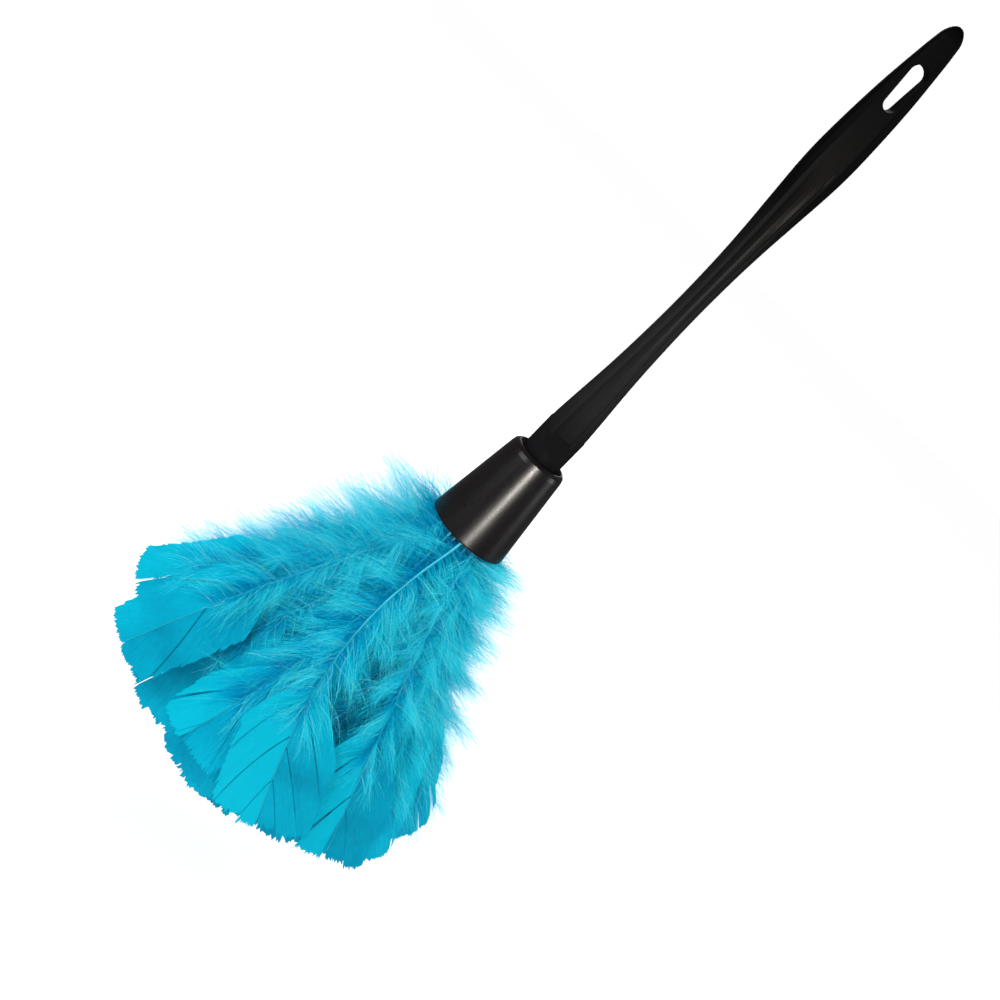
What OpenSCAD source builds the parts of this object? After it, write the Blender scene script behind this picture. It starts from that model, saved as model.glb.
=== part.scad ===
// Feather duster: moulded handle with a hanging slot, a bell-shaped cup, and four
// bound rows of dyed feathers. Millimetres. Z runs up the handle, X across its
// width, Y through its thickness. The origin is the centre of the round upper end
// of the hanging slot. Heights inside the modules are counted from the cup's mouth.

/* [Overall] */
// height of the hanging slot's upper round above the cup's mouth
hang_h = 270.5; // [240:0.5:300]
// height of the handle's tip above the cup's mouth
tip_h = 294.8; // [260:0.1:320]

/* [Handle neck] */
// radius of the round neck
neck_r = 10; // [7:0.1:14]
// height of the neck's lower end
neck_low = 33; // [28:0.5:38]
// height where the neck has run out into the blade
neck_high = 70; // [64:0.5:80]
// height on the neck's front where the scallop starts
scallop_low = 52; // [48:0.5:58]
// how far the scallop's ramp runs in for each millimetre it climbs
scallop_slope = 0.62; // [0.3:0.01:1]
// half distance between the two ramps' inner ends
scallop_in = 4.5; // [3:0.1:6]

/* [Handle blade] */
// width of each raised rim beside the panel
rim_w = 0.95; // [0.5:0.05:2]
// depth of the panel under its rims
panel_d = 0.75; // [0.3:0.05:1.5]
// extra depth in the middle of the panel
panel_hollow = 0.3; // [0:0.05:1]
// height where the panel starts to fade out
panel_fade_low = 178; // [150:1:200]
// height where the panel has faded out
panel_fade_high = 222; // [200:1:240]

/* [Hanging slot] */
// radius of the slot's upper round end
slot_r = 4.3; // [3:0.1:6]
// radius of the slot's lower round end
slot_low_r = 3.3; // [2:0.1:5]
// distance between the centres of the two round ends
slot_len = 15.2; // [10:0.1:25]

/* [Spigot] */
// radius of the spigot that the feathers are bound round
spigot_r = 4.5; // [3:0.1:5]
// height of the spigot's lower end
spigot_low = 3; // [1:0.5:10]

/* [Cup] */
// outer radius at the mouth
cup_r = 20.5; // [16:0.1:26]
// outer radius just under the top shoulder
cup_top_r = 14.9; // [12:0.1:18]
// height of the top shoulder
cup_shoulder = 43.5; // [38:0.5:46]
// height of the cup's top above the feathers' exit
cup_h = 47; // [40:0.5:55]
// height of the cup's lower edge, just under the feathers' exit
cup_low = -2; // [-4:0.1:0]
// wall thickness
cup_wall = 1.8; // [1:0.1:3]
// clearance round the neck in the throat
throat_gap = 0.06; // [0.05:0.01:0.3]

/* [Feathers] */
// radius of a quill
quill_r = 1.05; // [0.6:0.05:1.5]
// ring radius of the innermost row of quills
ring_1 = 5.7; // [5:0.1:8]
// distance from one row of quills to the next
ring_step = 2.8; // [2.6:0.1:3.5]
// thickness of a vane
vane_t = 0.9; // [0.5:0.1:2]
// thickness of a quill's visible ridge along the vane, across its width
ridge_w = 1.5; // [0.8:0.1:2]
// lean to one side of the whole head, in degrees at the outer row
lean = 4.5; // [0:0.1:8]

/* [Thread and glue] */
// thickness of each band of thread
thread_t = 0.5; // [0.3:0.05:0.6]
// number of turns in each band
thread_turns = 9; // [4:1:12]

/* [Hidden] */
$fn = 96;
black = [0.03, 0.03, 0.035];
cup_black = [0.06, 0.055, 0.06];
turquoise = [0.0, 0.66, 0.8];
cream = [0.85, 0.8, 0.68];
clear_glue = [0.86, 0.82, 0.7];
cup_slope = (cup_r - cup_top_r) / (cup_shoulder - cup_low - 0.8);
quill_top = 28;
glue_low = 24;
glue_high = 31.5;
band_low = 10;
band_high = 20;
ring_2 = ring_1 + ring_step;
ring_3 = ring_1 + 2 * ring_step;
ring_4 = ring_1 + 3 * ring_step;
// rows from the inside out: ring radius, count, first azimuth, mean splay, visible length
row_1 = [ring_1, 6, 10, 5, 179];
row_2 = [ring_2, 10, 3, 12.5, 172];
row_3 = [ring_3, 12, 7, 21.5, 160];
row_4 = [ring_4, 14, -7, 30, 153];

// ---- smooth interpolation through [height, value] stations
function seg(t, z, i = 0) = (i >= len(t) - 2 || z < t[i + 1][0]) ? i : seg(t, z, i + 1);
function slope_at(t, i) =
  (i == 0 || i == len(t) - 1) ? 0 : (t[i + 1][1] - t[i - 1][1]) / (t[i + 1][0] - t[i - 1][0]);
function hermite(u, h, a, b, ma, mb) =
  (2 * u * u * u - 3 * u * u + 1) * a + (u * u * u - 2 * u * u + u) * h * ma
  + (3 * u * u - 2 * u * u * u) * b + (u * u * u - u * u) * h * mb;
function spline(t, z) =
  let (i = seg(t, z), h = t[i + 1][0] - t[i][0], u = min(1, max(0, (z - t[i][0]) / h)))
  hermite(u, h, t[i][1], t[i + 1][1], slope_at(t, i), slope_at(t, i + 1));
function fade(z, a, b) = let (u = min(1, max(0, (z - a) / (b - a)))) u * u * (3 - 2 * u);

// ---- the blade: half width, half thickness and corner radius at each height
half_width = [
  [50, 9.7], [64, 9.55], [76, 8.6], [94, 6.85], [112, 5.75], [136, 5.05], [160, 5.25],
  [178, 6.15], [196, 7.7], [214, 9.2], [226, 9.6], [244, 9.1], [262, 8.0],
  [280, 6.15], [tip_h, 4.5]
];
half_thick = [
  [50, 5.5], [64, 5.5], [94, 5.4], [136, 5.2], [160, 5.4], [196, 6.1], [226, 6.6],
  [250, 6.2], [270.5, 5.3], [284, 4.4], [tip_h, 3.7]
];
corner = [
  [50, 4.2], [70, 3.4], [94, 1.9], [136, 1.6], [170, 1.9], [200, 3.6], [226, 4.6],
  [250, 4.4], [270.5, 3.9], [284, 3.1], [tip_h, 2.4]
];
// the rounding of the handle's tip
function cap(z) = let (u = max(0, (z - tip_h + 6.5) / 6.7)) sqrt(1 - u * u);
function panel_at(z) = panel_d * (1 - fade(z, panel_fade_low, panel_fade_high));

// one quarter of the blade's outline from the side round to the middle of the face
arc_steps = 5;
function quarter(z) =
  let (
    a = spline(half_width, z) * cap(z),
    t = spline(half_thick, z) * cap(z),
    c = min(spline(corner, z), a - 0.2, t - 0.2),
    d = panel_at(z),
    e = max(0.7 * (a - c), a - c - rim_w),
    k = 1 - fade(z, panel_fade_low, panel_fade_high)
  )
  concat(
    [for (i = [0:arc_steps]) [a - c + c * cos(90 * i / arc_steps), t - c + c * sin(90 * i / arc_steps)]],
    [[e, t], [e - min(0.35, 0.3 * e), t - d], [0.45 * e, t - d - 0.75 * panel_hollow * k]]
  );
function mid_face(z) =
  spline(half_thick, z) * cap(z) - panel_at(z)
  - panel_hollow * (1 - fade(z, panel_fade_low, panel_fade_high));
function outline_at(z) =
  let (q = quarter(z), n = len(q), m = mid_face(z))
  concat(
    [for (i = [0:n - 1]) [q[i][0], q[i][1], z]],
    [[0, m, z]],
    [for (i = [n - 1:-1:0]) [-q[i][0], q[i][1], z]],
    [for (i = [0:n - 1]) [-q[i][0], -q[i][1], z]],
    [[0, -m, z]],
    [for (i = [n - 1:-1:0]) [q[i][0], -q[i][1], z]]
  );

blade_steps = 60;
blade_low = 50;
function station(i) = blade_low + (tip_h - blade_low) * (1 - pow(1 - i / blade_steps, 1.5));
module blade() {
  rings = [for (i = [0:blade_steps]) outline_at(station(i))];
  n = len(rings[0]);
  m = len(rings);
  pts = [for (r = rings) for (p = r) p];
  walls = [
    for (j = [0:m - 2]) for (i = [0:n - 1])
      for (f = [0, 1])
        f == 0
          ? [j * n + i, (j + 1) * n + i, j * n + (i + 1) % n]
          : [j * n + (i + 1) % n, (j + 1) * n + i, (j + 1) * n + (i + 1) % n]
  ];
  polyhedron(
    points = pts,
    faces = concat([[for (i = [0:n - 1]) i]], walls, [[for (i = [n - 1:-1:0]) (m - 1) * n + i]]),
    convexity = 6
  );
}

module scallop_cut() {
  z_in = scallop_low + (neck_r - scallop_in) / scallop_slope;
  z_out = scallop_low - 2 / scallop_slope;
  translate([-15, 0, 0])
    rotate([90, 0, 90])
      linear_extrude(height = 30)
        polygon([[-neck_r - 2, z_out], [-scallop_in, z_in], [-scallop_in, 90], [-neck_r - 2, 90]]);
}

module neck() {
  difference() {
    rotate_extrude()
      polygon([
        [0, neck_low - 2], [neck_r - 2.5, neck_low - 2], [neck_r, neck_low + 0.5],
        [neck_r, neck_high - 6], [neck_r - 1.3, neck_high], [0, neck_high]
      ]);
    scallop_cut();
    mirror([0, 1, 0]) scallop_cut();
  }
}

module hanging_slot_cut() {
  low = hang_h - slot_len;
  s = (slot_r - slot_low_r) / slot_len;
  c = sqrt(1 - s * s);
  translate([0, 0, hang_h]) rotate([90, 0, 0]) cylinder(r = slot_r, h = 40, center = true);
  translate([0, 0, low]) rotate([90, 0, 0]) cylinder(r = slot_low_r, h = 40, center = true);
  rotate([90, 0, 0])
    linear_extrude(height = 40, center = true)
      polygon([
        [slot_r * c, hang_h - slot_r * s], [-slot_r * c, hang_h - slot_r * s],
        [-slot_low_r * c, low - slot_low_r * s], [slot_low_r * c, low - slot_low_r * s]
      ]);
}

module handle() {
  color(black)
    translate([0, 0, -hang_h])
      difference() {
        union() {
          blade();
          neck();
          translate([0, 0, spigot_low]) cylinder(r = spigot_r, h = neck_low - spigot_low);
        }
        hanging_slot_cut();
      }
}

module cup() {
  throat = neck_r + throat_gap;
  color(cup_black)
    translate([0, 0, -hang_h]) {
      rotate_extrude()
        polygon([
          [cup_r, cup_low], [cup_r, cup_low + 0.8], [cup_top_r, cup_shoulder],
          [cup_top_r - 0.5, cup_shoulder + 2], [cup_top_r - 1.5, cup_h - 0.4], [cup_top_r - 2.1, cup_h],
          [throat + 2.2, cup_h], [throat + 1.9, cup_h - 0.5], [throat + 0.4, cup_shoulder],
          [throat, cup_shoulder - 1], [throat, cup_shoulder - 5.5], [cup_top_r - cup_wall, cup_shoulder - 7],
          [cup_r - cup_wall - 0.1, cup_low + 0.8], [cup_r - cup_wall + 0.3, cup_low]
        ]);
      rotate([0, 0, 228])
        translate([cup_r - cup_slope * 11 - 1, 0, 11])
          rotate([0, 90, 0])
            cylinder(r = 0.7, h = 1.25);
    }
}

module glue_plug() {
  color(clear_glue)
    translate([0, 0, -hang_h])
      difference() {
        translate([0, 0, glue_low])
          cylinder(r1 = cup_r - cup_wall - cup_slope * glue_low - 0.1, r2 = cup_r - cup_wall - cup_slope * glue_high - 0.1, h = glue_high - glue_low);
        translate([0, 0, glue_low - 1]) cylinder(r = spigot_r + 0.05, h = 12);
        translate([0, 0, neck_low - 2.05]) cylinder(r1 = neck_r - 2.4, r2 = neck_r + 0.1, h = 2.5);
        for (row = [row_1, row_2, row_3, row_4])
          for (i = [0:row[1] - 1])
            rotate([0, 0, row[2] - 90 + i * 360 / row[1]])
              translate([row[0], 0, glue_low - 1])
                cylinder(r = quill_r + 0.05, h = quill_top - glue_low + 1.05, $fn = 24);
      }
}

module binding(ring) {
  inner = ring + quill_r + 0.05;
  outer = inner + thread_t;
  pitch = (band_high - band_low) / thread_turns;
  color(cream)
    translate([0, 0, -hang_h])
      rotate_extrude()
        polygon(concat(
          [[inner, band_low], [inner, band_high]],
          [for (i = [thread_turns - 1:-1:0]) for (k = [1, 0])
            [k == 1 ? outer : outer - 0.18, band_low + pitch * (i + 0.5 * k)]]
        ));
}

// ---- one feather. The middle line leaves the binding upright and bends outward.
vane_steps = 12;
function noise(k) = let (v = sin(k * 127.1 + 31.7) * 43.758) v - floor(v);
function turn(s, splay) = splay * 1.16 * (1 - exp(-s / 22));
function middle(ring, splay, length) =
  let (ds = (length + 8) / vane_steps)
  [for (
    i = 0, r = ring, z = 8;
    i <= vane_steps;
    r = r + ds * sin(turn((i + 0.5) * ds, splay)), z = z - ds * cos(turn((i + 0.5) * ds, splay)), i = i + 1
  ) [r, z]];
function normal_at(p, i) =
  let (a = p[max(0, i - 1)], b = p[min(len(p) - 1, i + 1)], d = b - a, n = norm(d))
  [-d[1] / n, d[0] / n];
function band(p, first, last, into, out) =
  concat(
    [for (i = [first:last]) p[i] + out * normal_at(p, i)],
    [for (i = [last:-1:first]) p[i] - into * normal_at(p, i)]
  );

module feather(row, i, seed) {
  az = row[2] - 90 + i * 360 / row[1];
  wedge = 360 / row[1] - (row[0] < 6 ? 5 : 1.8 + 1.2 * (ring_4 - row[0]) / ring_step * 0.5);
  splay = row[3] - lean * row[3] / 30 * cos(az);
  length = row[4] + 7 * (noise(seed) - 0.5);
  p = middle(row[0], splay, length);
  tip = p[vane_steps];
  half = tip[0] * sin(wedge / 2);
  skew = 3 * (noise(seed + 7) - 0.5);
  split = half * (noise(seed + 3) - 0.5) * 1.1;
  color(turquoise)
    translate([0, 0, -hang_h])
      rotate([0, 0, az]) {
        translate([row[0], 0, 6]) cylinder(r = quill_r, h = quill_top - 6, $fn = 24);
        rotate([90, 0, 0])
          linear_extrude(height = ridge_w, center = true)
            polygon(band(p, 0, vane_steps - 1, 0.35, 0.85));
        difference() {
          rotate([0, 0, -wedge / 2])
            rotate_extrude(angle = wedge)
              polygon(band(p, 1, vane_steps, vane_t / 2, vane_t / 2));
          for (side = [-1, 1])
            rotate([90, 0, 90])
              linear_extrude(height = 140)
                polygon([
                  [side * half * 0.62, tip[1] - 6], [side * (half + 8), tip[1] - 6],
                  [side * (half + 8), tip[1] + 15 + side * skew], [side * half * 0.99, tip[1] + 11 + side * skew]
                ]);
          rotate([90, 0, 90])
            linear_extrude(height = 140)
              polygon([
                [split - 1.1, tip[1] - 6], [split + 1.1, tip[1] - 6], [split + 0.25, tip[1] + 16 + 8 * skew]
              ]);
        }
      }
}

handle();
cup();
glue_plug();
binding(ring_1);  // binding_1
binding(ring_2);  // binding_2
binding(ring_3);  // binding_3
binding(ring_4);  // binding_4
feather(row_1, 0, 100);  // feather_inner_01
feather(row_1, 1, 101);  // feather_inner_02
feather(row_1, 2, 102);  // feather_inner_03
feather(row_1, 3, 103);  // feather_inner_04
feather(row_1, 4, 104);  // feather_inner_05
feather(row_1, 5, 105);  // feather_inner_06
feather(row_2, 0, 200);  // feather_second_01
feather(row_2, 1, 201);  // feather_second_02
feather(row_2, 2, 202);  // feather_second_03
feather(row_2, 3, 203);  // feather_second_04
feather(row_2, 4, 204);  // feather_second_05
feather(row_2, 5, 205);  // feather_second_06
feather(row_2, 6, 206);  // feather_second_07
feather(row_2, 7, 207);  // feather_second_08
feather(row_2, 8, 208);  // feather_second_09
feather(row_2, 9, 209);  // feather_second_10
feather(row_3, 0, 300);  // feather_third_01
feather(row_3, 1, 301);  // feather_third_02
feather(row_3, 2, 302);  // feather_third_03
feather(row_3, 3, 303);  // feather_third_04
feather(row_3, 4, 304);  // feather_third_05
feather(row_3, 5, 305);  // feather_third_06
feather(row_3, 6, 306);  // feather_third_07
feather(row_3, 7, 307);  // feather_third_08
feather(row_3, 8, 308);  // feather_third_09
feather(row_3, 9, 309);  // feather_third_10
feather(row_3, 10, 310);  // feather_third_11
feather(row_3, 11, 311);  // feather_third_12
feather(row_4, 0, 400);  // feather_outer_01
feather(row_4, 1, 401);  // feather_outer_02
feather(row_4, 2, 402);  // feather_outer_03
feather(row_4, 3, 403);  // feather_outer_04
feather(row_4, 4, 404);  // feather_outer_05
feather(row_4, 5, 405);  // feather_outer_06
feather(row_4, 6, 406);  // feather_outer_07
feather(row_4, 7, 407);  // feather_outer_08
feather(row_4, 8, 408);  // feather_outer_09
feather(row_4, 9, 409);  // feather_outer_10
feather(row_4, 10, 410);  // feather_outer_11
feather(row_4, 11, 411);  // feather_outer_12
feather(row_4, 12, 412);  // feather_outer_13
feather(row_4, 13, 413);  // feather_outer_14
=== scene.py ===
import math

import bpy
import numpy as np
from mathutils import Matrix, Vector


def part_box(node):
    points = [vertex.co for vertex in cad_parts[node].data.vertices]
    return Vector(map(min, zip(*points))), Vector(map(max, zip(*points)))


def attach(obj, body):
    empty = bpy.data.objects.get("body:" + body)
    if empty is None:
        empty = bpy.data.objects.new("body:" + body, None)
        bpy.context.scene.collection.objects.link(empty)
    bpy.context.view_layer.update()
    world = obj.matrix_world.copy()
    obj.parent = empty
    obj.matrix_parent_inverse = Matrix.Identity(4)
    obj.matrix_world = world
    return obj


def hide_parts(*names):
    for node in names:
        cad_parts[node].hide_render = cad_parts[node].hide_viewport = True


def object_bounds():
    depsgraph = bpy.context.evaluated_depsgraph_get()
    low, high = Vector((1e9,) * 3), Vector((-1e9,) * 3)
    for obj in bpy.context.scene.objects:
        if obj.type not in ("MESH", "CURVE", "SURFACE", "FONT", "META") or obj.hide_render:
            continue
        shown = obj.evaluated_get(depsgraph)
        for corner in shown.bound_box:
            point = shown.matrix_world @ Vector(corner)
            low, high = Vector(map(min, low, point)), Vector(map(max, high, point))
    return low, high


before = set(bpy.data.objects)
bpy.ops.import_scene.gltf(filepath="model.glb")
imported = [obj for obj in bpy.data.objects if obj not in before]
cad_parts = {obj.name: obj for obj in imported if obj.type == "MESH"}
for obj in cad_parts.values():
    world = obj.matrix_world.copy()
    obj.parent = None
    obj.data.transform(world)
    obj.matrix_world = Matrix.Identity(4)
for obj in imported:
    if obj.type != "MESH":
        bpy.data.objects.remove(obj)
cad_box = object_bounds()

MM = 0.001
SLOT_HEIGHT = 270.5  # mm from the exit up to the shared frame's origin
EXIT_Z = -SLOT_HEIGHT  # the exit, a height just inside the cup's mouth, where the feathers come out
TURN = 6.28  # a full turn in radians, near enough for random phases

# ---------------------------------------------------------------- camera
CAM_AZIMUTH = math.radians(-13.0)
CAM_DISTANCE = 650.0  # mm from the duster's axis
CAM_HEIGHT = 207.0  # mm above the exit
AIM_HEIGHT = 19.0  # mm above the exit, where the camera looks
AIM_SIDE = 0.35  # mm to the right of the axis
LENS = 53.77  # mm
SENSOR = 36.0  # mm
TILT = math.radians(45.55)  # the handle's direction in the picture, up from the right


def camera_setup():
    side = Vector((math.cos(CAM_AZIMUTH), math.sin(CAM_AZIMUTH), 0))
    away = Vector((-math.sin(CAM_AZIMUTH), math.cos(CAM_AZIMUTH), 0))
    place = away * -CAM_DISTANCE + Vector((0, 0, CAM_HEIGHT + EXIT_Z))
    aim = side * AIM_SIDE + Vector((0, 0, AIM_HEIGHT + EXIT_Z))
    look = (aim - place).normalized()
    up = (Vector((0, 0, 1)) - look * look.z).normalized()
    right = look.cross(up)
    frame_right = up * math.cos(TILT) + right * math.sin(TILT)
    frame_up = up * math.sin(TILT) - right * math.cos(TILT)
    data = bpy.data.cameras.new("camera")
    data.sensor_width = SENSOR
    data.lens = LENS
    data.clip_start = 0.01
    data.clip_end = 50
    cam = bpy.data.objects.new("camera", data)
    bpy.context.scene.collection.objects.link(cam)
    turn = Matrix((frame_right, frame_up, -look)).transposed()
    cam.matrix_world = Matrix.Translation(place * MM) @ turn.to_4x4()
    bpy.context.scene.camera = cam


camera_setup()


# ---------------------------------------------------------------- materials
def material(name):
    """A new material, its node tree and its shader."""
    m = bpy.data.materials.new(name)
    m.use_nodes = True
    nt = m.node_tree
    return m, nt, nt.nodes["Principled BSDF"]


def node(nt, kind, **inputs):
    """A new node with some of its inputs set."""
    n = nt.nodes.new(kind)
    for key, value in inputs.items():
        n.inputs[key].default_value = value
    return n


def ramp(nt, source, stops):
    """A colour by a number from 0 to 1. stops are pairs of a number and its colour."""
    n = nt.nodes.new("ShaderNodeValToRGB")
    n.color_ramp.elements[0].position = stops[0][0]
    n.color_ramp.elements[0].color = (*stops[0][1], 1)
    n.color_ramp.elements[1].position = stops[-1][0]
    n.color_ramp.elements[1].color = (*stops[-1][1], 1)
    for place, colour in stops[1:-1]:
        e = n.color_ramp.elements.new(place)
        e.color = (*colour, 1)
    nt.links.new(source, n.inputs["Fac"])
    return n.outputs["Color"]


def scaled(nt, vector, scale):
    n = node(nt, "ShaderNodeMapping", Scale=scale)
    nt.links.new(vector, n.inputs["Vector"])
    return n.outputs["Vector"]


def coords(nt, scale=(1, 1, 1)):
    """Places on the object in metres, times scale."""
    return scaled(nt, nt.nodes.new("ShaderNodeTexCoord").outputs["Object"], scale)


def noise(nt, vector, scale, detail=4.0, rough=0.6):
    n = node(nt, "ShaderNodeTexNoise", Scale=scale, Detail=detail, Roughness=rough)
    nt.links.new(vector, n.inputs["Vector"])
    return n.outputs["Fac"]


def grey(value):
    return (value, value, value)


def split(nt, vector):
    """A vector's three outputs, X, Y and Z."""
    n = nt.nodes.new("ShaderNodeSeparateXYZ")
    nt.links.new(vector, n.inputs["Vector"])
    return n.outputs


def barb_info(nt):
    """What make_vane stores at each point: on barbs where they root, how far out they are and their tone."""
    n = nt.nodes.new("ShaderNodeAttribute")
    n.attribute_name = "barb"
    return n.outputs["Vector"]


def add_part(nt, value, weight, base):
    """value times weight, plus base."""
    n = nt.nodes.new("ShaderNodeMath")
    n.operation = "MULTIPLY_ADD"
    n.inputs[1].default_value = weight
    nt.links.new(value, n.inputs[0])
    nt.links.new(base, n.inputs[2])
    return n.outputs["Value"]


def bump(nt, shader, height, strength, distance, under=None):
    """Adds a bump to a shader's normal, on top of the one under it."""
    b = node(nt, "ShaderNodeBump", Strength=strength, Distance=distance)
    nt.links.new(height, b.inputs["Height"])
    if under is not None:
        nt.links.new(under, b.inputs["Normal"])
    nt.links.new(b.outputs["Normal"], shader.inputs["Normal"])
    return b.outputs["Normal"]


HANDLE_TOP = 0.0243  # m, the height of the handle's tip


def handle_material():
    """Matt black, with painted shading along it: greyest on the narrow part of the blade and darkest at the
    grip.
    """
    m, nt, p = material("handle_black")
    along = nt.nodes.new("ShaderNodeMapRange")
    along.inputs["From Min"].default_value = EXIT_Z * MM
    along.inputs["From Max"].default_value = HANDLE_TOP
    nt.links.new(split(nt, coords(nt))["Z"], along.inputs["Value"])
    height = along.outputs["Result"]
    fine = noise(nt, coords(nt, (900, 900, 60)), 1.0, 3.0)
    wide = noise(nt, coords(nt, (40, 40, 12)), 1.0, 4.0)
    grain = noise(nt, coords(nt), 2600, 2.0)
    # painted shading: the base colour changes with height to stand in for how the light falls along the
    # handle
    stops = [
        (0.20, (0.0078, 0.0078, 0.0088)),
        (0.27, (0.0138, 0.0138, 0.0140)),
        (0.43, (0.0145, 0.0145, 0.0146)),
        (0.69, (0.0020, 0.0020, 0.0021)),
    ]
    nt.links.new(ramp(nt, height, stops), p.inputs["Base Color"])
    nt.links.new(ramp(nt, wide, [(0.3, grey(0.52)), (0.75, grey(0.66))]), p.inputs["Roughness"])
    first = bump(nt, p, fine, 0.22, 0.0002)
    bump(nt, p, grain, 0.12, 0.0001, first)
    p.inputs["Specular IOR Level"].default_value = 0.02
    p.inputs["Coat Weight"].default_value = 0.02
    p.inputs["Coat Roughness"].default_value = 0.22
    return m


def cup_material():
    """Glossier black with a trace of red, and fine scuffs that break up its highlight."""
    m, nt, p = material("cup_black")
    fine = noise(nt, coords(nt), 1500, 3.0)
    wide = noise(nt, coords(nt, (60, 60, 25)), 1.0, 4.0)
    scuff = noise(nt, coords(nt, (500, 500, 90)), 1.0, 6.0, 0.75)
    colour = ramp(nt, wide, [(0.3, (0.0062, 0.0036, 0.0040)), (0.7, (0.0066, 0.0054, 0.0062))])
    nt.links.new(colour, p.inputs["Base Color"])
    nt.links.new(ramp(nt, scuff, [(0.35, grey(0.26)), (0.7, grey(0.33))]), p.inputs["Roughness"])
    first = bump(nt, p, fine, 0.10, 0.0002)
    bump(nt, p, scuff, 0.03, 0.0003, first)
    p.inputs["Specular IOR Level"].default_value = 0.42
    return m


def soft_trim_material(name, low, high, scale):
    """For the glue and the thread: two tones mixed by a noise, which also makes the bump."""
    m, nt, p = material(name)
    f = noise(nt, coords(nt, scale), 1.0, 4.0)
    nt.links.new(ramp(nt, f, [(0.3, low), (0.7, high)]), p.inputs["Base Color"])
    p.inputs["Roughness"].default_value = 0.6
    bump(nt, p, f, 0.3, 0.0004)
    return m


def vane_material():
    """Barbs side by side: streaks along each barb, a darker band near the tip, and fine ribs in the bump."""
    m, nt, p = material("feather_vane")
    info = barb_info(nt)
    streak = noise(nt, scaled(nt, info, (1.3, 2.2, 0.0)), 1.0, 5.0, 0.7)
    cloud = noise(nt, coords(nt), 55, 3.0)
    tone = add_part(nt, streak, 0.55, split(nt, info)["Z"])
    tone = add_part(nt, cloud, 0.36, tone)
    stops = [
        (0.34, (0.0004, 0.15, 0.28)),
        (0.64, (0.0005, 0.31, 0.48)),
        (0.86, (0.0008, 0.41, 0.60)),
        (1.0, (0.0015, 0.50, 0.68)),
    ]
    nt.links.new(ramp(nt, tone, stops), p.inputs["Base Color"])
    p.inputs["Roughness"].default_value = 0.55
    p.inputs["Specular IOR Level"].default_value = 0.015
    rib = noise(nt, scaled(nt, info, (6.0, 0.6, 0.0)), 1.0, 2.0)
    bump(nt, p, rib, 0.35, 0.0003)
    return m


def quill_material():
    """Bright where the quill is thick, and close to the vane's own colour where it thins out."""
    m, nt, p = material("quill_cyan")
    share = split(nt, barb_info(nt))["X"]
    colour = ramp(nt, share, [(0.3, (0.06, 0.74, 0.90)), (0.62, (0.003, 0.43, 0.63))])
    nt.links.new(colour, p.inputs["Base Color"])
    nt.links.new(ramp(nt, share, [(0.25, grey(0.3)), (0.6, grey(0.8))]), p.inputs["Roughness"])
    p.inputs["Specular IOR Level"].default_value = 0.3
    return m


def down_material(name, colour, sheen=0.0, rough=0.6, gloss=0.0):
    """One tone of the down. A strand takes several of them from its root to its tip."""
    m, _, p = material(name)
    p.inputs["Base Color"].default_value = (*colour, 1)
    p.inputs["Roughness"].default_value = rough
    p.inputs["Specular IOR Level"].default_value = gloss
    p.inputs["Sheen Weight"].default_value = sheen
    p.inputs["Sheen Roughness"].default_value = 0.35
    p.inputs["Sheen Tint"].default_value = (0.5, 0.97, 1.0, 1)
    return m


DOWN = [
    down_material("down_deep", (0.0006, 0.31, 0.62)),
    down_material("down_blue", (0.0008, 0.46, 0.76)),
    down_material("down_cyan", (0.0015, 0.64, 0.87)),
    down_material("down_teal", (0.006, 0.66, 0.74)),
    down_material("down_light", (0.04, 0.84, 0.96), gloss=0.03),
    down_material("down_glint", (0.17, 0.88, 0.96), sheen=0.1, rough=0.4, gloss=0.2),
]
QUILL = quill_material()
VANE = vane_material()


# ---------------------------------------------------------------- mesh helpers
def add_mesh(name, verts, tris, quads, slots, mats, smooth, info=None):
    """Makes an object from arrays in mm. slots gives the triangles and then the quads their material."""
    me = bpy.data.meshes.new(name)
    faces = len(tris) + len(quads)
    loops = np.concatenate([np.asarray(tris, np.int32).ravel(), np.asarray(quads, np.int32).ravel()])
    total = np.repeat(np.array([3, 4], np.int32), [len(tris), len(quads)])
    me.vertices.add(len(verts))
    me.vertices.foreach_set("co", (np.asarray(verts, np.float32) * MM).ravel())
    me.loops.add(len(loops))
    me.loops.foreach_set("vertex_index", loops)
    me.polygons.add(faces)
    me.polygons.foreach_set("loop_start", np.concatenate([[0], np.cumsum(total)[:-1]]).astype(np.int32))
    me.polygons.foreach_set("loop_total", total)
    me.polygons.foreach_set("use_smooth", np.full(faces, smooth))
    me.polygons.foreach_set("material_index", np.asarray(slots, np.int32))
    if info is not None:
        barb = me.attributes.new("barb", "FLOAT_VECTOR", "POINT")
        barb.data.foreach_set("vector", info.astype(np.float32).ravel())
    me.update(calc_edges=True)
    for m in mats:
        me.materials.append(m)
    ob = bpy.data.objects.new(name, me)
    bpy.context.scene.collection.objects.link(ob)
    return ob


def unit(v):
    """Vectors of length 1 in the same directions."""
    return v / np.maximum(np.linalg.norm(v, axis=-1, keepdims=True), 1e-9)


def grid_faces(rows, cols, keep):
    """Quads of a rows by cols grid of points. Where keep is False, a slit parts a row from the next."""
    r, c = np.meshgrid(np.arange(rows - 1), np.arange(cols - 1), indexing="ij")
    a = r * cols + c
    return np.stack([a, a + 1, a + cols + 1, a + cols], -1)[keep].reshape(-1, 4)


# ---------------------------------------------------------------- one feather's middle line
BEND_START = 8.0  # mm above the exit, where the quill begins to lean outward
BEND_LENGTH = 22.0  # mm over which most of the lean builds up
BEND_GAIN = 1.16  # the lean at the tip, as a share of the straight line from BEND_START to the tip
SHAFT_TOP = 28.0  # mm above the exit, the quill's end inside the glue
CUP_LOW, CUP_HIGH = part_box("cup")
CUP_EDGE = CUP_LOW.z / MM - EXIT_Z  # mm, the cup's lower edge above the exit
CUP_RADIUS = CUP_HIGH.x / MM
SHAFT_STEPS = 220  # points of a middle line


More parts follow.
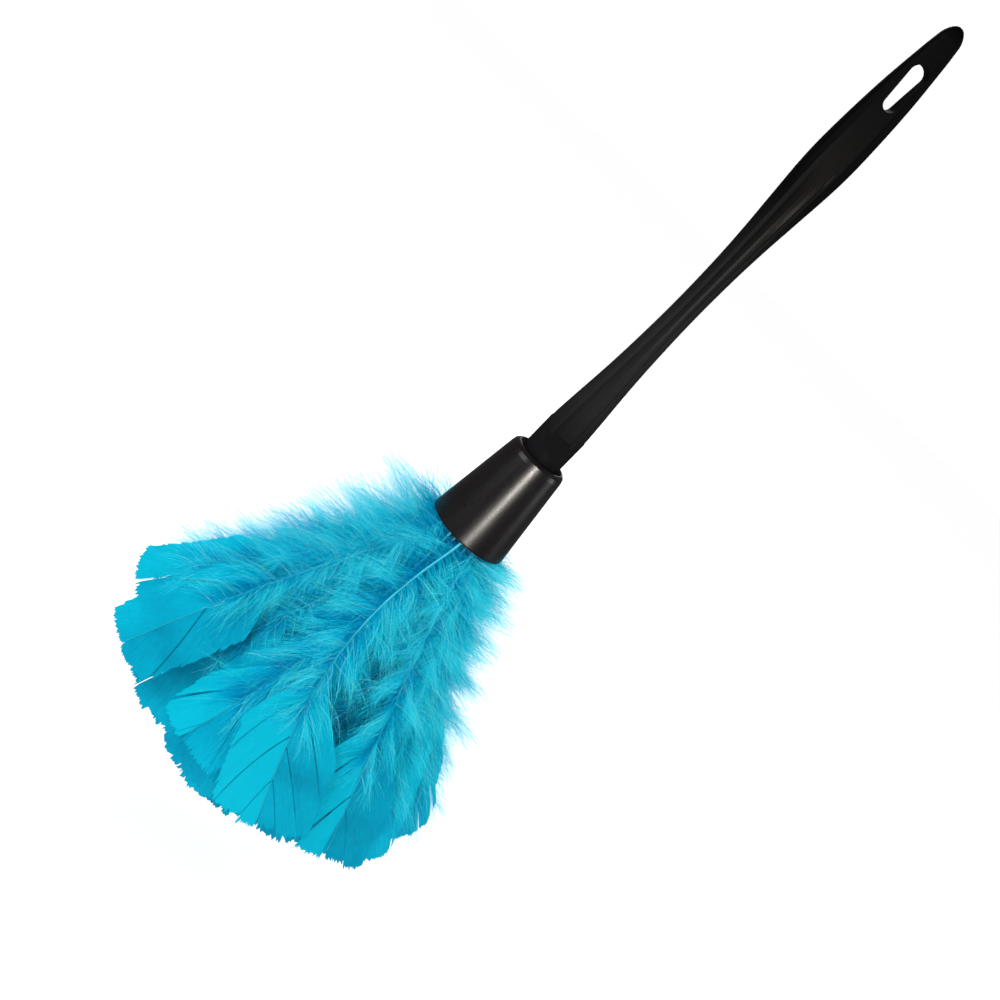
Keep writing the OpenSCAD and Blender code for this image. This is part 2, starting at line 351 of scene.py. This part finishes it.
class Shaft:
    """A feather's middle line in its own frame: outward, across, up. s runs in mm from BEND_START on."""

    def __init__(self, ring, splay, length, bow, drift, slope, droop, twist):
        self.length = length
        self.s = np.linspace(0, length, SHAFT_STEPS)
        ds = self.s[1]
        u = self.s / length
        lean = np.radians(splay * BEND_GAIN * (1 - np.exp(-self.s / BEND_LENGTH)) + droop * u**2.5)
        middle = (lean[1:] + lean[:-1]) / 2
        r = ring + np.concatenate([[0], np.cumsum(np.sin(middle) * ds)])
        z = BEND_START - np.concatenate([[0], np.cumsum(np.cos(middle) * ds)])
        free = np.clip((self.s - 10) / (length - 10), 0, 1)
        across = bow * np.sin(math.pi * free) * (1 - np.exp(-length * free / 12))
        across += drift * free**2 + slope * free
        self.p = np.stack([r, across, z], -1)
        self.t = unit(np.gradient(self.p, axis=0))
        out = np.stack([np.cos(lean), 0 * lean, np.sin(lean)], -1)
        side = unit(np.cross(out, self.t))
        out = np.cross(self.t, side)
        turn = np.radians(twist * np.minimum(u * 2, 1))[:, None]
        self.n = out * np.cos(turn) + side * np.sin(turn)
        self.b = side * np.cos(turn) - out * np.sin(turn)

    def at(self, s):
        """Point, direction to the tip, across and outward at s. Past the tip it goes straight on."""
        s = np.asarray(s, float)
        inside = np.clip(s, 0, self.length)
        p, t, b, n = (
            np.stack([np.interp(inside, self.s, v[:, k]) for k in range(3)], -1)
            for v in (self.p, self.t, self.b, self.n)
        )
        return p + t * (s - inside)[..., None], t, b, n


# ---------------------------------------------------------------- the closed vane
VANE_SEGMENTS = 14  # segments of a barb in the mesh
LONGEST_BARB = 64.0  # mm
FINE_STEPS = 60  # points of a barb before it is cut to its length
VANE_START, VANE_END = 0.42, 0.99  # shares of the quill's length where the first and last barbs usually root
SIDE_OFFSET = 400  # tells the two sides' streaks apart in the material


def barb_groups(rng, barbs, gap):
    """Barbs cling together in groups, with slits between them. gap says how far the slits may open."""
    slits = rng.integers(1, 5)
    cuts = np.sort(rng.choice(np.arange(8, barbs - 5), size=slits, replace=False))
    group = np.searchsorted(cuts, np.arange(barbs), side="right")
    count = group.max() + 1
    open_wide = np.where(rng.random(count) < 0.1, rng.normal(0, 2.0, count), 0)
    turn = gap * (rng.normal(0, 0.5, count) + open_wide)
    return group, turn, rng.normal(0, 1.3, count), rng.normal(0, 1.0, count)


def vane_side(rng, shaft, sign, width, tone, plan):
    """One side of the vane: barbs side by side, cut off in a blunt ragged line at the tip."""
    length = shaft.length
    barbs = int(plan["barbs"] * (VANE_END - plan["vane_from"]) / (VANE_END - VANE_START))
    roots = np.linspace(plan["vane_from"], VANE_END, barbs) * length
    u = roots / length
    group, turn, reach, lift = barb_groups(rng, barbs, plan["gap"])
    start = np.radians(np.interp(u, [0.4, 0.6, 0.85, 1.0], [54, 45, 34, 10]) + turn[group])
    bend = np.radians(np.interp(u, [0.4, 0.6, 0.9, 1.0], [27, 25, 20, 4]))
    t = np.linspace(0, 1, FINE_STEPS)
    step = LONGEST_BARB / (FINE_STEPS - 1)
    angle = start[:, None] - bend[:, None] * t[None, :]
    zero = np.zeros((barbs, 1))
    along = np.concatenate([zero, np.cumsum(np.cos(angle[:, :-1]) * step, 1)], 1)
    across = np.concatenate([zero, np.cumsum(np.sin(angle[:, :-1]) * step, 1)], 1)
    s = roots[:, None] + along
    outline = np.interp(s / length, [0.42, 0.52, 0.66, 0.82, 0.95, 1.1], [0.62, 0.8, 0.95, 1.0, 0.97, 0.9])
    half = width * outline * (1 + 0.02 * rng.normal(size=(barbs, 1)))
    end = length - 3.0 * (across / width) ** 3 + reach[group][:, None] + rng.normal(0, 0.55, (barbs, 1))
    inside = (across < half) & (s < end)
    last = np.maximum(np.argmin(inside, 1), 3)
    last[inside.all(1)] = FINE_STEPS - 1
    cut = np.linspace(0, 1, VANE_SEGMENTS + 1)[None, :] * last[:, None]
    low = np.floor(cut).astype(int)
    high = np.minimum(low + 1, FINE_STEPS - 1)
    w = cut - low
    s = np.take_along_axis(s, low, 1) * (1 - w) + np.take_along_axis(s, high, 1) * w
    b = np.take_along_axis(across, low, 1) * (1 - w) + np.take_along_axis(across, high, 1) * w
    rel = b / width
    wave = 1.0 * np.sin(s / 17 + rng.random() * 6) * rel + 0.4 * np.sin(s / 7 + rng.random() * 6) * rel**2
    curl = rng.uniform(-0.5, 2.5) * np.clip((s / length - 0.86) / 0.14, 0, 1) ** 2
    height = wave - 2.6 * rel**2 - curl + 1.1 * lift[group][:, None] * rel**2
    height += rng.normal(0, 0.08, (barbs, 1)) * rel
    p, _, side, out = shaft.at(s)
    points = p + sign * side * (b + 0.25)[..., None] + out * height[..., None]
    closed = (group[1:] == group[:-1]) | (plan["gap"] == 0)
    faces = grid_faces(barbs, VANE_SEGMENTS + 1, closed)
    if sign < 0:
        faces = faces[:, ::-1]
    band = np.exp(-((s / length - rng.uniform(0.84, 0.93)) / 0.04) ** 2)
    shade = tone + 0.07 * rel - rng.uniform(0, 0.22) * band
    shade = shade + rng.normal(0, 0.03, len(lift))[group][:, None] + rng.normal(0, 0.012, (barbs, 1))
    info = np.stack([np.broadcast_to(roots[:, None] + SIDE_OFFSET * sign, s.shape), cut / 8, shade], -1)
    return points.reshape(-1, 3), faces, info.reshape(-1, 3)


QUILL_SIDES = 8
QUILL_RINGS = 90
QUILL_TIP, QUILL_ROOT = 0.13, 0.71  # mm, its radius at the two ends


def quill_tube(shaft):
    """The quill: round in the cup, thinning to a hair at the tip. Also gives how far along each point is."""
    sides = QUILL_SIDES
    s = np.concatenate([[0.0], np.linspace(3, 0.985 * shaft.length, QUILL_RINGS)])
    p, _, side, out = shaft.at(s)
    top = np.array([[p[0, 0], p[0, 1], SHAFT_TOP]])
    p = np.concatenate([top, p])
    side = np.concatenate([side[:1], side])
    out = np.concatenate([out[:1], out])
    u = np.concatenate([[0], s / shaft.length])
    radius = QUILL_TIP + (QUILL_ROOT - QUILL_TIP) * (1 - u) ** 1.2
    a = np.linspace(0, 2 * math.pi, sides, endpoint=False)[None, :, None]
    circle = np.cos(a) * side[:, None] + np.sin(a) * out[:, None]
    points = p[:, None] + circle * radius[:, None, None]
    rings = len(p)
    i, j = np.meshgrid(np.arange(rings - 1), np.arange(sides), indexing="ij")
    k = (j + 1) % sides
    quads = np.stack([i * sides + j, i * sides + k, (i + 1) * sides + k, (i + 1) * sides + j], -1)
    end = (rings - 1) * sides
    caps = [[0, m + 1, m] for m in range(1, sides - 1)]
    caps += [[end, end + m, end + m + 1] for m in range(1, sides - 1)]
    return points.reshape(-1, 3), quads.reshape(-1, 4), np.array(caps), np.repeat(u, sides)


# ---------------------------------------------------------------- the down
STRAND_STEPS = 8  # segments of a strand
DOWN_START = BEND_START - CUP_EDGE + 2.0  # mm along the quill, just outside the cup


def trace(shaft, root, sign, angle, bend, rise, fall, length, wave):
    """Curved lines that leave the quill at an angle to its tip direction and rise off its plane."""
    t = np.linspace(0, 1, STRAND_STEPS + 1)[None, :]  # 0 at the root and 1 at the end
    sway = wave[:, :1] * np.sin(wave[:, 2:3] + t * wave[:, 4:5])
    lift = wave[:, 1:2] * np.sin(wave[:, 3:4] + t * wave[:, 4:5])
    a = (angle[:, None] - bend[:, None] * t + sway)[..., None]
    e = (rise[:, None] - fall[:, None] * t + lift)[..., None]
    p, along, side, out = (v[:, None] for v in shaft.at(root))
    side = side * sign[:, None, None]
    d = np.cos(e) * (np.cos(a) * along + np.sin(a) * side) + np.sin(e) * out
    move = np.cumsum(d[:, :-1] * (length / STRAND_STEPS)[:, None, None], 1)
    return p + np.concatenate([np.zeros((len(root), 1, 3)), move], 1)


def locks(rng, root, sign):
    """A slow wave along the quill, its own on each side, by which neighbouring clumps go the same way."""
    phase = rng.random((2, 2)) * TURN
    side = (sign > 0).astype(int)
    return np.sin(root / 2.9 + phase[0, side]) + 0.6 * np.sin(root / 1.6 + phase[1, side])


def down_strands(rng, shaft, row):
    """Clumps of soft strands on both sides of the quill's lower half. A clump's strands draw together."""
    clumps, each = row["clumps"], row["strands"]
    share = (np.arange(clumps) + rng.random(clumps)) / clumps
    root = DOWN_START + share**0.95 * (row["down_to"] * shaft.length - DOWN_START)
    sign = np.where(np.arange(clumps) % 2 == 0, 1.0, -1.0)
    x = root / shaft.length
    lock, puff = locks(rng, root, sign), locks(rng, root, sign)
    angle = np.interp(x, [0.06, 0.18, 0.4, 0.66], [98, 76, 60, 46]) + 12 * lock + rng.normal(0, 6, clumps)
    bend = np.interp(x, [0.06, 0.3, 0.66], [26, 30, 22]) + 14 * puff + rng.normal(0, 9, clumps)
    rise_x = np.interp(x, [0.06, 0.3, 0.66], [1.0, 0.85, row["lift"]])
    rise = rise_x * (row["rise"] + row["rise_spread"] * (0.75 * puff + rng.normal(0, 0.6, clumps)))
    rise = np.clip(rise, -24, 80)
    fall = 10 + 0.3 * rise + rng.normal(0, 16, clumps)
    length = row["reach"] * np.interp(x, [0.06, 0.14, 0.35, 0.66], [0.86, 1.0, 0.98, row["late"]])
    length = length * rng.uniform(0.6, 1.2, clumps)
    sway = np.stack(
        [
            rng.uniform(0.05, 0.32, clumps),
            rng.uniform(0.05, 0.32, clumps),
            1.5 * lock + rng.random() * TURN + rng.normal(0, 0.5, clumps),
            1.5 * puff + rng.random() * TURN + rng.normal(0, 0.5, clumps),
            5.0 + lock + rng.uniform(-0.8, 0.8, clumps),
        ],
        -1,
    )
    turns = [np.radians(v) for v in (angle, bend, rise, fall)]
    guide = trace(shaft, root, sign, *turns, length, sway)
    of = np.repeat(np.arange(clumps), each)
    n = len(of)
    wave = sway[of] * rng.uniform(0.7, 1.3, (n, 5))
    wave[:, 2:4] = sway[of, 2:4] + rng.normal(0, 0.45, (n, 2))
    stray = np.where(rng.random(n) < 0.1, 2.6, 1.0)
    path = trace(
        shaft,
        root[of] + rng.normal(0, 2.2, n),
        sign[of],
        np.radians(angle[of] + rng.normal(0, 5, n) * stray),
        np.radians(bend[of] + rng.normal(0, 7, n) * stray),
        np.radians(rise[of] + rng.normal(0, 7, n) * stray),
        np.radians(fall[of] + rng.normal(0, 8, n)),
        length[of] * rng.uniform(0.5, 1.1, n),
        wave,
    )
    t = np.linspace(0, 1, STRAND_STEPS + 1)[None, :, None]
    pull = row["cling"] * (rng.uniform(0.2, 1.0, n) / stray)[:, None, None] * t**1.3
    path = path * (1 - pull) + guide[of] * pull
    return path, of, root, rise


def ribbons(rng, path, out, width):
    """Flat tapered ribbons along the strands, their faces turned mostly outward."""
    n, m = path.shape[:2]
    d = unit(np.gradient(path, axis=1))
    face = unit(out[:, None] + rng.normal(0, 0.5, (n, 1, 3)))
    across = unit(np.cross(d, face))
    t = np.linspace(0, 1, m)[None, :, None]
    half = width * (1 - 0.85 * t**1.2) * rng.uniform(0.7, 1.3, (n, 1, 1)) / 2
    points = np.stack([path - across * half, path + across * half], 2).reshape(n, -1, 3)
    i = np.arange(m - 1)
    strip = np.stack([2 * i, 2 * i + 1, 2 * i + 3, 2 * i + 2], -1)
    quads = (strip[None] + (np.arange(n) * 2 * m)[:, None, None]).reshape(-1, 4)
    return points.reshape(-1, 3), quads, d, across


def barbules(rng, path, d, across, each, size):
    """Tiny side hairs along the strands, one thin triangle each."""
    n, m = path.shape[:2]
    at = rng.random((n, each)) * (m - 1.001)
    low = at.astype(int)
    f = (at - low)[..., None]
    row = np.arange(n)[:, None]
    p = path[row, low] * (1 - f) + path[row, low + 1] * f
    along = d[row, low]
    side = across[row, low] * np.where(rng.random((n, each, 1)) < 0.5, -1, 1)
    lean = rng.uniform(0.5, 1.3, (n, each, 1))
    hair = unit(side + along * lean + rng.normal(0, 0.45, (n, each, 3)))
    long = size * (1.15 - 0.7 * at / m)[..., None] * rng.uniform(0.6, 1.35, (n, each, 1))
    half = along * 0.03
    points = np.stack([p - half, p + half, p + hair * long], 2)
    return points.reshape(-1, 3), np.arange(n * each * 3).reshape(-1, 3), at / m


# ---------------------------------------------------------------- feathers on their CAD nodes
# What each row's feathers are like. Lengths are in mm and angles in degrees. The outer rows show most, so
# they hold the most barbs and strands.
# The vane: width is half its width, barbs are counted on one side, and tone is its lightness.
# The down: clumps, each of so many strands with side hairs, stand along the quill as far as the share
# down_to of its length. rise is their angle off the vane, reach their length, ribbon a strand's width, cling
# how far a clump draws together, and level their lightness, to which make_down adds painted light and shade.
ROWS = {
    "inner": dict(
        width=17, barbs=70, tone=0.26, clumps=34, strands=9, hairs=10, rise=4, rise_spread=8, reach=22,
        ribbon=0.2, hair_mm=1.4, down_to=0.6, cling=0.3, level=-0.7,
    ),
    "second": dict(
        width=19, barbs=84, tone=0.28, clumps=50, strands=10, hairs=14, rise=8, rise_spread=12, reach=25,
        ribbon=0.18, hair_mm=1.3, down_to=0.62, cling=0.35, level=-0.4,
    ),
    "third": dict(
        width=21, barbs=110, tone=0.31, clumps=100, strands=13, hairs=20, rise=14, rise_spread=17, reach=29,
        ribbon=0.14, hair_mm=1.2, down_to=0.66, cling=0.4, level=0.0,
    ),
    "outer": dict(
        width=22, barbs=130, tone=0.34, clumps=150, strands=16, hairs=28, rise=30, rise_spread=24, reach=33,
        ribbon=0.115, hair_mm=1.15, down_to=0.64, cling=0.4, level=0.4,
    ),
}
# Feathers with a shape of their own: those at the front, and those along the two sides of the picture. The
# keys are those of ROWS and of feather_plan.
FRONT = {
    "feather_outer_01": dict(
        bow=-7.7, drift=26, slope=-13.9, splay=31.8, droop=-2.2, length=161.4, rise=5, contrast=-0.13,
        twist=4, vane_from=0.6, down_to=0.72, shade=3.2,
    ),
    "feather_outer_02": dict(
        bow=1.6, drift=5, slope=2.3, splay=28.4, droop=2.7, length=159, width=24, rise=16, contrast=-0.19,
        twist=4, vane_from=0.6, down_to=0.74,
    ),
    "feather_outer_13": dict(
        bow=-5.6, drift=-0.5, slope=-4.5, splay=31.6, droop=0.3, length=163, rise=24, twist=14, down_to=0.72,
        vane_from=0.55,
    ),
    "feather_outer_14": dict(splay=26.5, droop=2, down_to=0.82, rise=24, vane_from=0.66, late=0.9, shade=3.2),
    "feather_outer_12": dict(
        twist=24, down_to=0.8, rise=42, reach=43, vane_from=0.55, tuck=3.0, late=0.75, lift=0.85, gap=0.0
    ),
    "feather_outer_11": dict(
        twist=16, down_to=0.82, rise=48, reach=49, vane_from=0.58, tuck=1.5, late=0.7, lift=0.8
    ),
    "feather_outer_10": dict(
        twist=10, down_to=0.8, rise=48, reach=49, vane_from=0.58, tuck=1.5, late=0.65, lift=0.7
    ),
    "feather_outer_09": dict(down_to=0.74, rise=46, reach=47, vane_from=0.55, tuck=1.5, late=0.6),
    "feather_outer_03": dict(level=0.9, teal=0.8, down_to=0.82, twist=-12, vane_from=0.52, late=0.9),
    "feather_outer_04": dict(level=0.9, teal=0.9, down_to=0.86, twist=-28, rise=46, vane_from=0.6, late=1.25),
    "feather_outer_05": dict(level=0.9, teal=0.8, down_to=0.84, twist=-34, rise=48, vane_from=0.6, late=1.25),
    "feather_outer_06": dict(level=0.7, teal=0.5, down_to=0.8, twist=-24, rise=42, vane_from=0.55, late=1.0),
    "feather_third_03": dict(twist=-20, down_to=0.78, vane_from=0.45),
    "feather_third_04": dict(twist=-26, down_to=0.78, vane_from=0.45),
    "feather_third_01": dict(down_to=0.76, vane_from=0.55),
    "feather_third_12": dict(down_to=0.76, rise=20, vane_from=0.55, tuck=-3.0, length=165, gap=0.2),
    "feather_third_11": dict(down_to=0.76, rise=20, vane_from=0.55, tuck=-3.0, length=168, gap=0.0),
    "feather_second_09": dict(gap=0.0, tuck=-1.0, length=172),
    "feather_second_08": dict(gap=0.2),
}


def cad_line(name):
    """A CAD feather's azimuth, its quill's ring radius, its lean and its length, in mm, from its solid."""
    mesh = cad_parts[name].data
    co = np.zeros(len(mesh.vertices) * 3, np.float32)
    mesh.vertices.foreach_get("co", co)
    co = co.reshape(-1, 3) / MM
    top = co[co[:, 2] > co[:, 2].max() - 0.2].mean(0)
    azimuth = math.atan2(top[1], top[0])
    ring = math.hypot(top[0], top[1])
    outward = co[:, 0] * math.cos(azimuth) + co[:, 1] * math.sin(azimuth) - ring
    down = BEND_START + EXIT_Z - co[:, 2]
    far = np.hypot(outward, down)
    end = far > far.max() - 4
    splay = math.degrees(math.atan2(outward[end].mean(), down[end].mean()))
    return azimuth, ring, splay, far.max()


def to_row(points, azimuth):
    """From the feather's own frame to the shared one, in mm."""
    c, s = math.cos(azimuth), math.sin(azimuth)
    x = points[..., 0] * c - points[..., 1] * s
    y = points[..., 0] * s + points[..., 1] * c
    return np.stack([x, y, points[..., 2] + EXIT_Z], -1)


def covers(path, quill, azimuth, low, high, left, right):
    """True for the strands that would lie over a bare quill between two heights above the exit."""
    z = quill[::-1, 2]
    qx = np.interp(path[..., 2], z, quill[::-1, 0])
    qy = np.interp(path[..., 2], z, quill[::-1, 1])
    dx, dy = path[..., 0] - qx, path[..., 1] - qy
    across = -dx * math.sin(azimuth) + dy * math.cos(azimuth)
    out = dx * math.cos(azimuth) + dy * math.sin(azimuth)
    height = path[..., 2] - EXIT_Z
    over = (across > -left) & (across < right) & (out > -1.0) & (height > low) & (height < high)
    return over.any(1)


def in_cup(path):
    """True for the strands that would run into the cup."""
    near = np.hypot(path[..., 0], path[..., 1]) < CUP_RADIUS + 0.6
    return (near & (path[..., 2] - EXIT_Z > CUP_EDGE - 0.4)).any(1)


BOX_LOW, BOX_HIGH = (np.array(corner) / MM for corner in cad_box)
SPARE = 11.0  # mm that a strand may reach past the CAD solids


def out_of_box(path):
    """True for the strands that would reach too far past the CAD solids."""
    return ((path < BOX_LOW - SPARE) | (path > BOX_HIGH + SPARE)).any((1, 2))


PLAN_SEED = 700  # for a feather's curve and tone
MESH_SEED = 2000  # for its barbs and strands


def feather_plan(name, row, index):
    """A feather's shaft and look: from its CAD solid, its row and a little chance."""
    rng = np.random.default_rng(PLAN_SEED + index)
    azimuth, ring, splay, length = cad_line(name)
    plan = dict(ROWS[row])
    plan.update(
        azimuth=azimuth,
        bow=rng.normal(0, 2.0),
        drift=rng.normal(0, 3.0),
        slope=rng.normal(0, 2.0),
        splay=splay + rng.normal(0, 0.8),
        droop=rng.normal(-1, 3),
        length=length,
        twist=8.0 + rng.normal(0, 9),
        contrast=rng.normal(0, 0.06),  # painted light and shade: how much lighter one half of the vane is than the other
        teal=0.25,  # share of the clumps that are greener
        vane_from=VANE_START,  # share of the quill's length where the closed vane begins
        late=0.7,  # the lowest clumps' length, as a share of reach
        tuck=0.0,  # degrees that the feather leans inward
        shade=1.4,  # painted shade: how much darker the down is close to the cup
        gap=1.0,  # how far the vane's slits may open
        lift=0.5,  # how much the lowest clumps rise off the vane
        seed=MESH_SEED + 10 * index,
    )
    plan["tone"] += rng.normal(0, 0.065)
    plan.update(FRONT.get(name, {}))
    plan["splay"] -= plan["tuck"]
    keys = ("splay", "length", "bow", "drift", "slope", "droop", "twist")
    plan["shaft"] = Shaft(ring, *(plan[k] for k in keys))
    return plan


def make_vane(name, plan):
    """The closed vane of one feather and its quill, as one piece."""
    rng = np.random.default_rng(plan["seed"])
    shaft = plan["shaft"]
    points, quads, info = [], [], []
    base = 0
    for sign in (1, -1):
        width = plan["width"] * rng.uniform(0.9, 1.1)
        # painted light and shade: one half of the vane is made lighter, the other darker
        tone = plan["tone"] + plan["contrast"] * sign
        p, f, a = vane_side(rng, shaft, sign, width, tone, plan)
        points.append(p)
        quads.append(f + base)
        info.append(a)
        base += len(p)
    p, f, caps, share = quill_tube(shaft)
    slots = [1] * len(caps) + [0] * sum(map(len, quads)) + [1] * len(f)
    points.append(p)
    quads.append(f + base)
    info.append(np.stack([share, 0 * share, 0 * share], -1))
    verts = to_row(np.concatenate(points), plan["azimuth"])
    faces = np.concatenate(quads)
    info = np.concatenate(info)
    return add_mesh(name + "_vane", verts, caps + base, faces, slots, [VANE, QUILL], True, info)


DEEP, BLUE, CYAN, TEAL, LIGHT, GLINT = range(len(DOWN))
# The tones in DOWN of a strand's root, in painted shade, and of its tip, in painted light, by the tone of its
# middle.
SHADED_ROOT_TONE = np.array([DEEP, DEEP, BLUE, TEAL, CYAN, GLINT])
LIT_TIP_TONE = np.array([BLUE, CYAN, LIGHT, LIGHT, LIGHT, GLINT])
NEAR_CUP = 0.28  # share of the quill's length over which the down gets painted shade near the cup
OUTWARD_AT = 40.0  # mm along the quill, where the direction that ribbons face is taken
TONE_LEVELS = [-1.1, -0.2, 0.9]  # the lightness at which a strand goes from deep to blue, cyan and light
GLINT_SHARE = 0.08  # of the strands that are cyan or lighter
GLINT_WIDTH = 1.5  # times a common strand's


def strand_tone(tone, place):
    """Painted shade and light: darker at a strand's root and lighter at its tip. place runs from 0 to 1 along
    it.
    """
    outer = np.where(place < 0.6, tone[:, None], LIT_TIP_TONE[tone][:, None])
    return np.where(place < 0.25, SHADED_ROOT_TONE[tone][:, None], outer).ravel()


def make_down(name, plan, bare):
    """The down of one feather. Strands that would run into the cup or hide a bare quill are left out."""
    rng = np.random.default_rng(plan["seed"] + 1)
    path, of, root, rise = down_strands(rng, plan["shaft"], plan)
    in_row = to_row(path, plan["azimuth"])
    keep = ~(in_cup(in_row) | out_of_box(in_row))
    for quill_name, band in bare:
        if quill_name != name:
            keep &= ~covers(in_row, *band)
    path, of = path[keep], of[keep]
    out = plan["shaft"].at(np.full(len(path), OUTWARD_AT))[3]
    # painted shade: down rooted near the cup and lying low on the vane is made darker
    near_cup = np.clip(1 - root / (NEAR_CUP * plan["shaft"].length), 0, 1)
    deep = plan["shade"] * near_cup * np.clip(1 - rise / 35, 0, 1)
    # painted light and shade: strands that rise high off the vane are made lighter, those lying low darker
    level = plan["level"] + rng.normal(0, 0.6, plan["clumps"]) + (rise - plan["rise"]) / 22 - deep
    level = level[of] + rng.normal(0, 0.45, len(of))
    tone = np.digitize(level, TONE_LEVELS)
    greener = (tone == CYAN) & (rng.random(plan["clumps"])[of] < plan["teal"])
    tone = np.where(tone == TEAL, LIGHT, tone)
    tone = np.where(greener, TEAL, tone)
    # painted highlight: a few cyan or lighter strands take the pale glint tone, on top of its gloss, and are
    # made wider
    glint = (tone >= CYAN) & (rng.random(len(of)) < GLINT_SHARE)
    tone = np.where(glint, GLINT, tone)
    width = plan["ribbon"] * np.where(glint, GLINT_WIDTH, 1.0)[:, None, None]
    strip, quads, d, across = ribbons(rng, path, out, width)
    hairs, tris, place = barbules(rng, path, d, across, plan["hairs"], plan["hair_mm"])
    steps = np.arange(STRAND_STEPS)[None, :] / STRAND_STEPS
    slots = np.concatenate([strand_tone(tone, place), strand_tone(tone, steps)])
    verts = to_row(np.concatenate([strip, hairs]), plan["azimuth"])
    return add_mesh(name + "_down", verts, tris + len(strip), quads, slots, DOWN, False)


# Front quills that lie bare, with no other feather's down over them: the lowest and highest bare point in mm
# above the exit, and the bare width in mm on the two sides of the quill.
BARE_QUILLS = [
    ("feather_outer_01", -34, 6, 6.0, 1.6),
    ("feather_outer_01", -84, -30, 3.0, 1.6),
    ("feather_outer_01", -150, -82, 5.0, 6.0),
    ("feather_outer_02", -150, -86, 4.0, 3.0),
    ("feather_outer_13", -150, -72, 8.0, 8.0),
]


def make_feathers():
    names = sorted(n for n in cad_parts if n.startswith("feather_"))
    plans = {n: feather_plan(n, n.split("_")[1], i) for i, n in enumerate(names)}
    bare = []
    for name, *band in BARE_QUILLS:
        plan = plans[name]
        line = to_row(plan["shaft"].p, plan["azimuth"])
        bare.append((name, (line, plan["azimuth"], *band)))
    for name, plan in plans.items():
        for piece in (make_vane(name, plan), make_down(name, plan, bare)):
            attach(piece, "root")
            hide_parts(name)


make_feathers()


# ---------------------------------------------------------------- hard parts
THREAD = soft_trim_material("thread_cotton", (0.5, 0.45, 0.33), (0.72, 0.68, 0.55), (300, 300, 2500))
GLUE = soft_trim_material("glue_amber", (0.52, 0.45, 0.28), (0.7, 0.64, 0.46), (120, 120, 120))


def dress(name, mat):
    """Gives a CAD node its material."""
    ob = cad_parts[name]
    ob.data.materials.clear()
    ob.data.materials.append(mat)


dress("handle", handle_material())
dress("cup", cup_material())
dress("glue_plug", GLUE)
for k in range(1, 5):
    dress(f"binding_{k}", THREAD)


# ---------------------------------------------------------------- stage and light
FLOOR_HALF = 6.0  # m
FLOOR_Z = (EXIT_Z - 215) * MM  # below the feathers' tips
LIGHT_AIM = Vector((0, 0, -0.28))  # m, near the cup
SEEN_WHITE = 1.02  # the background as the camera sees it
LIT_WHITE = 0.62  # the background as a light
GLOSS_WHITE = 0.1  # the background in reflections, low so that black plastic stays black


def stage_floor():
    me = bpy.data.meshes.new("floor")
    half, z = FLOOR_HALF, FLOOR_Z
    corners = [(-half, -half, z), (half, -half, z), (half, half, z), (-half, half, z)]
    me.from_pydata(corners, [], [(0, 1, 2, 3)])
    m, _, p = material("floor_white")
    p.inputs["Base Color"].default_value = (0.93, 0.93, 0.93, 1)
    p.inputs["Roughness"].default_value = 0.9
    p.inputs["Emission Color"].default_value = (1, 1, 1, 1)
    p.inputs["Emission Strength"].default_value = 0.45
    me.materials.append(m)
    ob = bpy.data.objects.new("floor", me)
    bpy.context.scene.collection.objects.link(ob)
    ob.visible_glossy = False


def light(name, azimuth, height, distance, width, tall, watts, colour=(1, 1, 1)):
    """A soft box round the duster. azimuth runs in degrees from -Y, where the front feathers are, to +X."""
    a = math.radians(azimuth)
    d = bpy.data.lights.new(name, "AREA")
    d.shape = "RECTANGLE"
    d.size, d.size_y = width, tall
    d.energy = watts
    d.color = colour
    ob = bpy.data.objects.new(name, d)
    place = Vector((math.sin(a) * distance, -math.cos(a) * distance, height))
    look = (LIGHT_AIM - place).normalized()
    side = look.cross(Vector((0, 0, 1))).normalized()
    up = side.cross(look)
    ob.matrix_world = Matrix.Translation(place) @ Matrix((side, up, -look)).transposed().to_4x4()
    bpy.context.scene.collection.objects.link(ob)
    return ob


def world_light():
    """White all round, with its own strength for the camera, for reflections and for the rest."""
    w = bpy.data.worlds.new("studio")
    bpy.context.scene.world = w
    w.use_nodes = True
    nt = w.node_tree
    nt.nodes.clear()
    out = nt.nodes.new("ShaderNodeOutputWorld")
    seen = node(nt, "ShaderNodeBackground", Color=(1, 1, 1, 1), Strength=SEEN_WHITE)
    lit = node(nt, "ShaderNodeBackground", Color=(1, 1, 1, 1), Strength=LIT_WHITE)
    dim = node(nt, "ShaderNodeBackground", Color=(1, 1, 1, 1), Strength=GLOSS_WHITE)
    path = nt.nodes.new("ShaderNodeLightPath")
    gloss = nt.nodes.new("ShaderNodeMixShader")
    mix = nt.nodes.new("ShaderNodeMixShader")
    nt.links.new(path.outputs["Is Glossy Ray"], gloss.inputs["Fac"])
    nt.links.new(lit.outputs[0], gloss.inputs[1])
    nt.links.new(dim.outputs[0], gloss.inputs[2])
    nt.links.new(path.outputs["Is Camera Ray"], mix.inputs["Fac"])
    nt.links.new(gloss.outputs[0], mix.inputs[1])
    nt.links.new(seen.outputs[0], mix.inputs[2])
    nt.links.new(mix.outputs[0], out.inputs["Surface"])


stage_floor()
world_light()
strip = light("key_strip", 3, -0.12, 1.0, width=0.15, tall=0.3, watts=12, colour=(1.0, 0.94, 0.87))
strip.visible_diffuse = False  # it only makes the highlight along the cup
light("key_left", -60, 0.35, 1.3, width=0.9, tall=0.9, watts=8.5)
light("fill_right", 80, 0.15, 1.3, width=0.5, tall=1.0, watts=5)
light("back_top", 170, 0.6, 1.4, width=1.0, tall=0.7, watts=6)

scene = bpy.context.scene
scene.view_settings.view_transform = "Standard"
scene.view_settings.look = "None"
